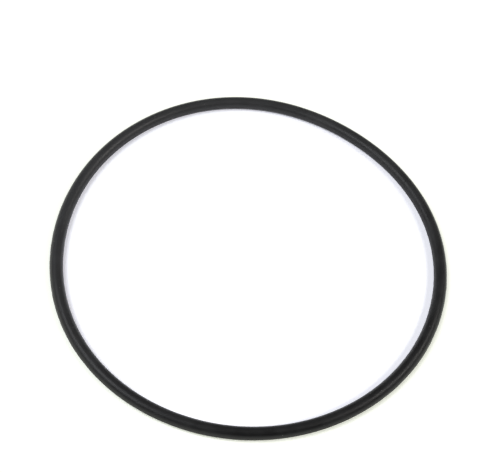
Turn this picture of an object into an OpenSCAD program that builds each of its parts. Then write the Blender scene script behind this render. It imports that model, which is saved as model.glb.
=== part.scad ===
// Rubber o-ring, moulded in one piece between two mould halves that part on its middle plane.
// The origin is the ring's centre on that plane, and +Z is the ring's axis.

/* [Ring] */
// Inside diameter of the ring, measured to the round cord
inside_d = 104.37; // [20:0.01:250]
// Thickness of the round cord
cord_d = 3.53; // [1.5:0.01:8]

/* [Moulding line] */
// How far the trimmed flash stands out of the cord, on its inner and its outer side
flash_h = 0.08; // [0.02:0.01:0.15]
// Width of the flash at its trimmed edge, along the ring's axis
flash_w = 0.14; // [0.05:0.01:0.3]
// Width of the flash where it runs out into the cord
flash_root_w = 0.46; // [0.32:0.01:0.8]

/* [Hidden] */
$fn = 240;
rubber_black = [0.15, 0.15, 0.16];

cord_r = cord_d / 2;
ring_r = inside_d / 2 + cord_r;
flash_edge = cord_r + flash_h;
flash_root = sqrt(pow(cord_r, 2) - pow(flash_root_w / 2, 2));

// The flash is a thin web between the mould halves. Past the cord, each side of it tapers to a trimmed edge.
module flash_section() {
    polygon([
        [-flash_edge, -flash_w / 2],
        [-flash_root, -flash_root_w / 2],
        [flash_root, -flash_root_w / 2],
        [flash_edge, -flash_w / 2],
        [flash_edge, flash_w / 2],
        [flash_root, flash_root_w / 2],
        [-flash_root, flash_root_w / 2],
        [-flash_edge, flash_w / 2]
    ]);
}

// Round cord with the flash on it, drawn about the middle of the cord
module cord_section() {
    circle(d = cord_d);
    flash_section();
}

module o_ring() {
    color(rubber_black)
        rotate_extrude()
            translate([ring_r, 0])
                cord_section();
}

o_ring();
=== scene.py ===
import math

import bpy
from mathutils import Matrix, Vector


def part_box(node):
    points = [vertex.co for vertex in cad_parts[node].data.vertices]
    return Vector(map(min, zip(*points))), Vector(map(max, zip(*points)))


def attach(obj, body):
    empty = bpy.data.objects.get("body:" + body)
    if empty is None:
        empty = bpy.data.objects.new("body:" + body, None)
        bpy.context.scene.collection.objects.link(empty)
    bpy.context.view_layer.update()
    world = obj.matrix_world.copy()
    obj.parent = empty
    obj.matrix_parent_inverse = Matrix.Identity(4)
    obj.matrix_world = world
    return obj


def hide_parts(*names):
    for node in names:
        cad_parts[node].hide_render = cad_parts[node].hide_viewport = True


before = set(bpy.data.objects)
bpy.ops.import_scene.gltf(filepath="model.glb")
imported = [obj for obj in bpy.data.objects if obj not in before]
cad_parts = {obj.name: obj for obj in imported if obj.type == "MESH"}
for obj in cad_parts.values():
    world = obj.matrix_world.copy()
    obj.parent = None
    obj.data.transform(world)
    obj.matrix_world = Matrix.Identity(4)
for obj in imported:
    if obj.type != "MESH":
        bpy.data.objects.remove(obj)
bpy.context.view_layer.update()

# The ring: one closed loop of solid round cord in black nitrile rubber, moulded in a two-part mould.
# The mould halves meet on the cord's middle plane, so a thin trimmed flash runs round its inner and
# its outer side. It lies relaxed on the table, about half a millimetre out of round.
FLASH_HEIGHT = 0.00008
FLASH_EDGE = 0.00014
FLASH_ROOT = 0.00046
# The cord is a little fuller than its nominal thickness, within what its making allows.
NOMINAL_CORD_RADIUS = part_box("o_ring")[1].z
FULLER_BY = 0.000044
CORD_RADIUS = NOMINAL_CORD_RADIUS + FULLER_BY
RING_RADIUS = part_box("o_ring")[1].x - NOMINAL_CORD_RADIUS - FLASH_HEIGHT
UNEVEN_CORD = 0.000012
SWELL_SCALE = 90.0
MOULDING_SEED = 7.0
# The trimming takes the flash down unevenly, at its deepest to half of its height.
TRIM_SCALE = 420.0
TRIM_SPREAD = (0.34, 0.64)
DEEPEST_TRIM = 0.5
STATIONS = 720
SECTION_POINTS = 104
CROWDING = 0.4
# Each wave of the relaxed ring: its bulges, how far they stand out as a share of the radius, and
# the bearing of the first in degrees.
RELAXED_WAVES = ((3, 0.0077, -4.0), (4, 0.0022, 24.0), (5, 0.0007, 20.0), (6, 0.0007, -27.0))


class Layout:
    """Lays nodes in a node tree, with their inputs set or linked as they are made."""

    def __init__(self, tree):
        self.tree = tree

    def node(self, kind, inputs=None, **settings):
        made = self.tree.nodes.new(kind)
        for name, value in settings.items():
            setattr(made, name, value)
        for socket, value in (inputs or {}).items():
            if isinstance(value, bpy.types.NodeSocket):
                self.tree.links.new(value, made.inputs[socket])
            else:
                made.inputs[socket].default_value = value
        return made

    def maths(self, operation, *values):
        return self.node("ShaderNodeMath", dict(enumerate(values)), operation=operation).outputs[0]

    def vectors(self, operation, *values):
        made = self.node("ShaderNodeVectorMath", dict(enumerate(values)), operation=operation)
        return made.outputs["Value" if operation == "LENGTH" else "Vector"]

    def scaled(self, vector, factor):
        made = self.node("ShaderNodeVectorMath", {0: vector, "Scale": factor}, operation="SCALE")
        return made.outputs["Vector"]

    def vector(self, x, y, z):
        return self.node("ShaderNodeCombineXYZ", {"X": x, "Y": y, "Z": z}).outputs[0]

    def parted(self, vector):
        return self.node("ShaderNodeSeparateXYZ", {0: vector}).outputs

    def ranged(self, value, low, high, to_low=0.0, to_high=1.0, shape="SMOOTHSTEP"):
        made = self.node(
            "ShaderNodeMapRange",
            {"Value": value, "From Min": low, "From Max": high, "To Min": to_low, "To Max": to_high},
            interpolation_type=shape,
        )
        return made.outputs["Result"]

    def blended(self, share, first, second):
        made = self.node("ShaderNodeMix", {0: share, 6: first, 7: second}, data_type="RGBA")
        return made.outputs[2]

    def noise(self, vector, scale, detail=2.0, w=0.0):
        made = self.node(
            "ShaderNodeTexNoise",
            {"Vector": vector, "Scale": scale, "Detail": detail, "W": w},
            noise_dimensions="4D",
        )
        return made.outputs[0]


def out_of_round(lay, turn, relaxed=1.0):
    """The relaxed ring's radius at a turn from +X, as a share of the true circle's."""
    waves = 0.0
    for bulges, share, bearing in RELAXED_WAVES:
        phase = -bulges * math.radians(bearing)
        swing = lay.maths("COSINE", lay.maths("MULTIPLY_ADD", turn, float(bulges), phase))
        waves = lay.maths("MULTIPLY_ADD", swing, share, waves)
    return lay.maths("MULTIPLY_ADD", waves, relaxed, 1.0)


ring_tree = bpy.data.node_groups.new("moulded_ring", "GeometryNodeTree")
ring_inputs = (
    ("Ring radius", "NodeSocketFloat", RING_RADIUS),
    ("Cord radius", "NodeSocketFloat", CORD_RADIUS),
    ("Flash height", "NodeSocketFloat", FLASH_HEIGHT),
    ("Flash edge width", "NodeSocketFloat", FLASH_EDGE),
    ("Flash root width", "NodeSocketFloat", FLASH_ROOT),
    ("Relaxed", "NodeSocketFloat", 1.0),
    ("Uneven cord", "NodeSocketFloat", UNEVEN_CORD),
    ("Seed", "NodeSocketFloat", MOULDING_SEED),
    ("Stations", "NodeSocketInt", STATIONS),
    ("Section points", "NodeSocketInt", SECTION_POINTS),
    ("Rubber", "NodeSocketMaterial", None),
)
ring_sockets = {
    name: ring_tree.interface.new_socket(name, in_out="INPUT", socket_type=kind).identifier
    for name, kind, value in ring_inputs
}
ring_tree.interface.new_socket("Ring", in_out="OUTPUT", socket_type="NodeSocketGeometry")
lay = Layout(ring_tree)
size = lay.node("NodeGroupInput").outputs
place = lay.node("GeometryNodeInputPosition").outputs[0]
apart = lay.parted(place)
turn = lay.maths("ARCTAN2", apart["Y"], apart["X"])

# The path is a circle, let out of round by the waves.
path = lay.node(
    "GeometryNodeCurvePrimitiveCircle",
    {"Resolution": size["Stations"], "Radius": size["Ring radius"]},
)
relaxed_place = lay.scaled(place, out_of_round(lay, turn, size["Relaxed"]))
path = lay.node("GeometryNodeSetPosition", {"Geometry": path.outputs[0], "Position": relaxed_place})
path = lay.node("GeometryNodeSetCurveNormal", {"Curve": path.outputs[0]}, mode="Z_UP")

# The section is a round cord whose points crowd towards the flash. Each point keeps its place in the
# section, outward and up, as an attribute that the sweep hands on. The sweep turns the section's
# height over, so the attribute holds it with the sign changed.
double_turn = lay.maths("MULTIPLY", turn, 2.0)
crowded = lay.maths("MULTIPLY_ADD", lay.maths("SINE", double_turn), -CROWDING, turn)
section_place = lay.vector(lay.maths("COSINE", crowded), lay.maths("SINE", crowded), 0.0)
section = lay.node(
    "GeometryNodeCurvePrimitiveCircle",
    {"Resolution": size["Section points"], "Radius": 1.0},
)
section = lay.node(
    "GeometryNodeSetPosition",
    {"Geometry": section.outputs[0], "Position": section_place},
)
section_flip = lay.vectors("MULTIPLY", place, (1.0, -1.0, 1.0))
section = lay.node(
    "GeometryNodeStoreNamedAttribute",
    {"Geometry": section.outputs[0], "Name": "section", "Value": section_flip},
    data_type="FLOAT_VECTOR",
    domain="POINT",
)
full_section = lay.scaled(place, size["Cord radius"])
section = lay.node(
    "GeometryNodeSetPosition",
    {"Geometry": section.outputs[0], "Position": full_section},
)
cord = lay.node(
    "GeometryNodeCurveToMesh",
    {"Curve": path.outputs[0], "Profile Curve": section.outputs[0], "Fill Caps": False},
)

# The flash stands out where the mould halves met. Its trimmed edge is never quite even, and the cord
# swells and thins by a hundredth of a millimetre along its way.
in_section = lay.node(
    "GeometryNodeInputNamedAttribute", {"Name": "section"}, data_type="FLOAT_VECTOR"
).outputs["Attribute"]
in_section = lay.parted(in_section)
outward = lay.vectors("NORMALIZE", lay.vectors("MULTIPLY", place, (1.0, 1.0, 0.0)))
off_cord = lay.vectors(
    "ADD", lay.scaled(outward, in_section["X"]), lay.vector(0.0, 0.0, in_section["Y"])
)
off_middle = lay.maths("ABSOLUTE", apart["Z"])
web = lay.ranged(
    off_middle,
    lay.maths("MULTIPLY", size["Flash root width"], 0.5),
    lay.maths("MULTIPLY", size["Flash edge width"], 0.5),
)
trimmed = lay.noise(place, TRIM_SCALE, detail=3.0, w=size["Seed"])
trimmed = lay.ranged(trimmed, *TRIM_SPREAD, DEEPEST_TRIM, 1.0)
flash = lay.maths("MULTIPLY", lay.maths("MULTIPLY", web, trimmed), size["Flash height"])
swell = lay.noise(place, SWELL_SCALE, detail=1.0, w=size["Seed"])
swell = lay.maths("MULTIPLY_ADD", swell, 2.0, -1.0)
proud = lay.scaled(off_cord, lay.maths("MULTIPLY_ADD", swell, size["Uneven cord"], flash))
cord = lay.node("GeometryNodeSetPosition", {"Geometry": cord.outputs[0], "Offset": proud})
cord = lay.node("GeometryNodeSetShadeSmooth", {"Geometry": cord.outputs[0], "Shade Smooth": True})
cord = lay.node("GeometryNodeRealizeInstances", {"Geometry": cord.outputs[0]})
cord = lay.node("GeometryNodeSetMaterial", {"Geometry": cord.outputs[0], "Material": size["Rubber"]})
lay.node("NodeGroupOutput", {0: cord.outputs[0]})

# Black nitrile as it leaves the mould: a satin skin with fine grain from the mould wall, faint
# ring-wise lines where the mould was turned, and a duller trimmed flash. Bloom lies on it in
# patches, with shallow ripples, small pits and a few specks of dust. Painted light makes the skin
# paler towards one side of the ring, and painted shade makes it darker towards the other.
# The black where the skin is bare of bloom and painted in shade, and where it is bloomed and painted
# in light
DEEP_BLACK = (0.0050, 0.0050, 0.0052, 1.0)
BLOOMED_AND_PAINTED_LIT_BLACK = (0.0290, 0.0290, 0.0298, 1.0)
TRIMMED_GREY = (0.0300, 0.0300, 0.0305, 1.0)
DUST_GREY = (0.1400, 0.1360, 0.1300, 1.0)
# The bearing of the side that is painted paler, and the share of the bloomed black at the side
# painted in shade and at the side painted in light
PAINTED_LIGHT_BEARING = math.radians(128.0)
PAINTED_LIT_SIDE = (math.cos(PAINTED_LIGHT_BEARING) / RING_RADIUS, math.sin(PAINTED_LIGHT_BEARING) / RING_RADIUS, 0.0)
PAINTED_SHADE_END = -0.1
PAINTED_LIGHT_END = 0.9
PATCH_SCALE = 160.0
PATCH_SPREAD = (0.35, 0.7)
PATCH_SHARE = 0.3
GRAIN_SCALE = 9000.0
GRAIN_DEPTH = 0.000007
LINES_ACROSS = 14.0
LINES_ALONG = 3.0
LINE_DEPTH = 0.0000015
RIPPLE_SCALE = 1100.0
RIPPLE_DEPTH = 0.000012
PIT_SCALE = 2600.0
PIT_RIM = (0.72, 0.64)
PIT_DEPTH = 0.000010
SCUFF_SCALE = 700.0
SCUFF_SPREAD = (0.58, 0.75)
CUT_FACE = (0.10, 0.03)
CUT_SCALE = 1500.0
CUT_SPREAD = (0.35, 0.6)
FAINTEST_CUT = 0.4
DUST_SCALE = 2100.0
DUST_PICK = (0.975, 0.985)
DUST_RIM = (0.22, 0.12)
SATIN = 0.40
BLOOMED_SATIN = 0.49
SCUFF_DULLS = 0.06
CUT_DULLS = 0.12
SHINE = 0.36
REFRACTION = 1.5


def emptied(owner):
    """The cleared node tree of a material or a world, ready to be laid out."""
    owner.use_nodes = True
    owner.node_tree.nodes.clear()
    return Layout(owner.node_tree)


rubber = bpy.data.materials.new("black_nitrile_rubber")
lay = emptied(rubber)
on_ring = lay.node("ShaderNodeTexCoord").outputs["Object"]
along = lay.parted(on_ring)
turn = lay.maths("ARCTAN2", along["Y"], along["X"])
around = lay.parted(lay.node("ShaderNodeAttribute", attribute_name="section").outputs["Vector"])

# Painted light and shade, paler towards one side of the ring and darker towards the other, with real
# bloom thicker in patches
patches = lay.ranged(lay.noise(on_ring, PATCH_SCALE, detail=4.0, w=2.0), *PATCH_SPREAD)
to_painted_lit_side = lay.parted(lay.vectors("MULTIPLY", on_ring, PAINTED_LIT_SIDE))
to_painted_lit_side = lay.maths("ADD", to_painted_lit_side["X"], to_painted_lit_side["Y"])
bloom_and_painted_light = lay.ranged(to_painted_lit_side, -1.0, 1.0, PAINTED_SHADE_END, PAINTED_LIGHT_END, "LINEAR")
bloom_and_painted_light = lay.maths("MULTIPLY_ADD", patches, PATCH_SHARE, bloom_and_painted_light)
bloom_and_painted_light = lay.node("ShaderNodeClamp", {"Value": bloom_and_painted_light}).outputs[0]

# The cut face of the flash, more and less torn, and the dust, a speck in about two cells in a hundred
cut_face = lay.ranged(lay.maths("ABSOLUTE", around["Y"]), *CUT_FACE)
torn = lay.noise(on_ring, CUT_SCALE, detail=3.0, w=4.0)
cut_face = lay.maths("MULTIPLY", cut_face, lay.ranged(torn, *CUT_SPREAD, FAINTEST_CUT, 1.0))
dust = lay.node("ShaderNodeTexVoronoi", {"Vector": on_ring, "Scale": DUST_SCALE}, feature="F1")
dust_here = lay.ranged(lay.parted(dust.outputs["Color"])["X"], *DUST_PICK)
dust = lay.maths("MULTIPLY", lay.ranged(dust.outputs["Distance"], *DUST_RIM), dust_here)
# The painted light and shade across the ring and the real bloom patches together set how pale the
# black is
colour = lay.blended(bloom_and_painted_light, DEEP_BLACK, BLOOMED_AND_PAINTED_LIT_BLACK)
colour = lay.blended(cut_face, colour, TRIMMED_GREY)
colour = lay.blended(dust, colour, DUST_GREY)

scuff = lay.ranged(lay.noise(on_ring, SCUFF_SCALE, detail=5.0, w=11.0), *SCUFF_SPREAD)
dullness = lay.ranged(patches, 0.0, 1.0, SATIN, BLOOMED_SATIN, "LINEAR")
dullness = lay.maths("MULTIPLY_ADD", scuff, SCUFF_DULLS, dullness)
dullness = lay.maths("MULTIPLY_ADD", cut_face, CUT_DULLS, dullness)

# Relief of the skin, in metres
grain = lay.noise(on_ring, GRAIN_SCALE, detail=2.0, w=5.0)
lines_place = lay.vector(
    lay.maths("MULTIPLY", around["X"], LINES_ACROSS),
    lay.maths("MULTIPLY", around["Y"], LINES_ACROSS),
    lay.maths("MULTIPLY", lay.maths("COSINE", turn), LINES_ALONG),
)
lines_turn = lay.maths("MULTIPLY", lay.maths("SINE", turn), LINES_ALONG)
lines = lay.noise(lines_place, 1.0, detail=3.0, w=lines_turn)
ripple = lay.noise(on_ring, RIPPLE_SCALE, detail=3.0, w=8.0)
pits = lay.ranged(lay.noise(on_ring, PIT_SCALE, detail=2.0, w=13.0), *PIT_RIM)
relief = lay.maths("MULTIPLY", grain, GRAIN_DEPTH)
relief = lay.maths("MULTIPLY_ADD", lines, LINE_DEPTH, relief)
relief = lay.maths("MULTIPLY_ADD", ripple, RIPPLE_DEPTH, relief)
relief = lay.maths("MULTIPLY_ADD", pits, PIT_DEPTH, relief)
relief = lay.node("ShaderNodeBump", {"Strength": 1.0, "Distance": 1.0, "Height": relief}).outputs[0]
skin = lay.node(
    "ShaderNodeBsdfPrincipled",
    {
        "Base Color": colour,
        "Roughness": dullness,
        "IOR": REFRACTION,
        "Specular IOR Level": SHINE,
        "Normal": relief,
    },
)
lay.node("ShaderNodeOutputMaterial", {"Surface": skin.outputs[0]})

ring = bpy.data.objects.new("o_ring_moulded", bpy.data.meshes.new("o_ring_moulded"))
bpy.context.scene.collection.objects.link(ring)
sweep = ring.modifiers.new("moulded_ring", "NODES")
sweep.node_group = ring_tree
for name, kind, value in ring_inputs:
    sweep[ring_sockets[name]] = rubber if name == "Rubber" else value
graph = bpy.context.evaluated_depsgraph_get()
swept = bpy.data.meshes.new_from_object(
    ring.evaluated_get(graph), preserve_all_data_layers=True, depsgraph=graph
)
ring.modifiers.remove(sweep)
ring.data = swept
ring.data.name = "o_ring_moulded"
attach(ring, "root")
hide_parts("o_ring")

# The table: one smooth white board that the ring lies on, with a matt face. It takes the ring's
# shadow. Its own glow, a little cool within the ring and a little warm round it, carries it to clean
# white away from the shadow.
TABLE_HALF = 3.0
TABLE_WHITE = 0.85
LAMPLIT = 0.66
GLOW_WITHIN = (0.38, 0.383, 0.43, 1.0)
GLOW_ROUND = (0.42, 0.44, 0.36, 1.0)
# Distances outward from the cord's middle where one glow turns to the other, and where the shadow
# is let fade to white beside the ring
GLOW_TURNS = (-0.001, 0.001)
SHADOW_ENDS = (0.0014, 0.0040)
FADE_BESIDE = 0.85
# Distances from the ring's centre over which the last of the shade fades
FAR_TABLE = (0.075, 0.2)
FADE_FAR = 0.15


def seen_directly(lay):
    """One for what the camera sees, directly, mirrored or through glass, and nought for lighting."""
    rays = lay.node("ShaderNodeLightPath").outputs
    seen = lay.maths("MAXIMUM", rays["Is Camera Ray"], rays["Is Glossy Ray"])
    return lay.maths("MAXIMUM", seen, rays["Is Transmission Ray"])


board = bpy.data.materials.new("white_board")
lay = emptied(board)
on_board = lay.node("ShaderNodeTexCoord").outputs["Object"]
on_board = lay.vectors("MULTIPLY", on_board, (1.0, 1.0, 0.0))
beside = lay.parted(on_board)
from_centre = lay.vectors("LENGTH", on_board)
ring_here = out_of_round(lay, lay.maths("ARCTAN2", beside["Y"], beside["X"]))
beyond = lay.maths("SUBTRACT", from_centre, lay.maths("MULTIPLY", ring_here, RING_RADIUS))
own_glow = lay.blended(lay.ranged(beyond, *GLOW_TURNS), GLOW_WITHIN, GLOW_ROUND)
seen = seen_directly(lay)
fade = lay.ranged(from_centre, *FAR_TABLE, 0.0, FADE_FAR)
fade = lay.maths("MULTIPLY_ADD", lay.ranged(beyond, *SHADOW_ENDS), FADE_BESIDE, fade)
fade = lay.maths("MULTIPLY", fade, seen)
paint = lay.maths("MULTIPLY_ADD", fade, -TABLE_WHITE, TABLE_WHITE)
lamplight = lay.scaled((1.0, 1.0, 1.0), lay.maths("MULTIPLY", fade, LAMPLIT))
glow = lay.vectors("ADD", own_glow, lamplight)
matt = lay.node("ShaderNodeBsdfDiffuse", {"Color": lay.vector(paint, paint, paint)})
lit = lay.node("ShaderNodeEmission", {"Color": glow, "Strength": seen})
both = lay.node("ShaderNodeAddShader", {0: matt.outputs[0], 1: lit.outputs[0]})
lay.node("ShaderNodeOutputMaterial", {"Surface": both.outputs[0]})
table_mesh = bpy.data.meshes.new("table")
corners = [
    (x * TABLE_HALF, y * TABLE_HALF, -CORD_RADIUS)
    for x, y in ((-1, -1), (1, -1), (1, 1), (-1, 1))
]
table_mesh.from_pydata(corners, [], [(0, 1, 2, 3)])
table_mesh.materials.append(board)
table = bpy.data.objects.new("table", table_mesh)
bpy.context.scene.collection.objects.link(table)

# The light: two soft lamps high on the left and the right throw the shadows, and three pale cards
# beside them and behind the ring show as the soft streaks on the rubber. The room itself is dim,
# with a white wall low round the table.
COOL_WHITE = (0.97, 1.0, 1.05)
PALE_COOL_WHITE = (0.98, 1.0, 1.03)
WARM_WHITE = (1.03, 1.0, 0.97)
PLAIN_WHITE = (1.0, 1.0, 1.0)
# Heights of the wall's top, as the sine of the angle at which it is seen, and the room's dim light,
# on things and where it is seen
WALL_TOP = (0.26, 0.18)
ROOM_ON_THINGS = 0.10
ROOM_SEEN = 0.06


def lamp(name, bearing, height, distance, width, tall, power, colour, lights=True, shines=True):
    """A soft lamp that faces the ring's centre, placed by bearing and height in degrees."""
    light = bpy.data.lights.new(name, "AREA")
    light.shape = "ELLIPSE"
    light.size = width
    light.size_y = tall
    light.energy = power
    light.color = colour
    made = bpy.data.objects.new(name, light)
    bearing = math.radians(bearing)
    height = math.radians(height)
    level = math.cos(height)
    away = Vector((math.cos(bearing) * level, math.sin(bearing) * level, math.sin(height)))
    made.location = away * distance
    made.rotation_euler = away.to_track_quat("Z", "Y").to_euler()
    made.visible_camera = False
    made.visible_diffuse = lights
    made.visible_glossy = shines
    bpy.context.scene.collection.objects.link(made)


lamp(
    "left_lamp", bearing=208.0, height=60.0, distance=0.6,
    width=0.36, tall=0.26, power=2.10, colour=COOL_WHITE, shines=False,
)
lamp(
    "right_lamp", bearing=336.0, height=49.0, distance=0.8,
    width=0.36, tall=0.18, power=2.10, colour=WARM_WHITE, shines=False,
)
lamp(
    "left_card", bearing=190.0, height=54.0, distance=0.6,
    width=0.62, tall=0.34, power=1.55, colour=PALE_COOL_WHITE, lights=False,
)
lamp(
    "right_card", bearing=6.0, height=50.0, distance=0.8,
    width=0.44, tall=0.26, power=2.00, colour=WARM_WHITE, lights=False,
)
lamp(
    "back_card", bearing=80.0, height=55.0, distance=0.7,
    width=0.40, tall=0.40, power=0.20, colour=PLAIN_WHITE, lights=False,
)
room = bpy.data.worlds.new("room")
lay = emptied(room)
seen = seen_directly(lay)
toward = lay.parted(lay.node("ShaderNodeTexCoord").outputs["Generated"])
wall = lay.maths("MULTIPLY", lay.ranged(toward["Z"], *WALL_TOP), seen)
dim = lay.ranged(seen, 0.0, 1.0, ROOM_ON_THINGS, ROOM_SEEN, "LINEAR")
strength = lay.ranged(wall, 0.0, 1.0, dim, 1.0, "LINEAR")
sky = lay.node("ShaderNodeBackground", {"Color": (1.0, 1.0, 1.0, 1.0), "Strength": strength})
lay.node("ShaderNodeOutputWorld", {"Surface": sky.outputs[0]})
bpy.context.scene.world = room
bpy.context.scene.view_settings.view_transform = "Standard"

# The camera looks down at the ring from the front, a little turned about its own line of sight.
CAMERA_HEIGHT = math.radians(57.68)
CAMERA_TURN = math.radians(8.06)
CAMERA_DISTANCE = 0.4146
CAMERA_AIM = Vector((-0.0005, 0.00705, 0.0))
view = bpy.data.cameras.new("camera")
view.sensor_width = 36.0
view.lens = 105.2
view.clip_start = 0.01
camera = bpy.data.objects.new("camera", view)
bpy.context.scene.collection.objects.link(camera)
forward = Vector((0.0, math.cos(CAMERA_HEIGHT), -math.sin(CAMERA_HEIGHT)))
level = Vector((1.0, 0.0, 0.0))
upright = level.cross(forward)
across = math.cos(CAMERA_TURN) * level + math.sin(CAMERA_TURN) * upright
up = math.cos(CAMERA_TURN) * upright - math.sin(CAMERA_TURN) * level
facing = Matrix((across, up, -forward)).transposed().to_4x4()
camera.matrix_world = Matrix.Translation(CAMERA_AIM - forward * CAMERA_DISTANCE) @ facing
bpy.context.scene.camera = camera
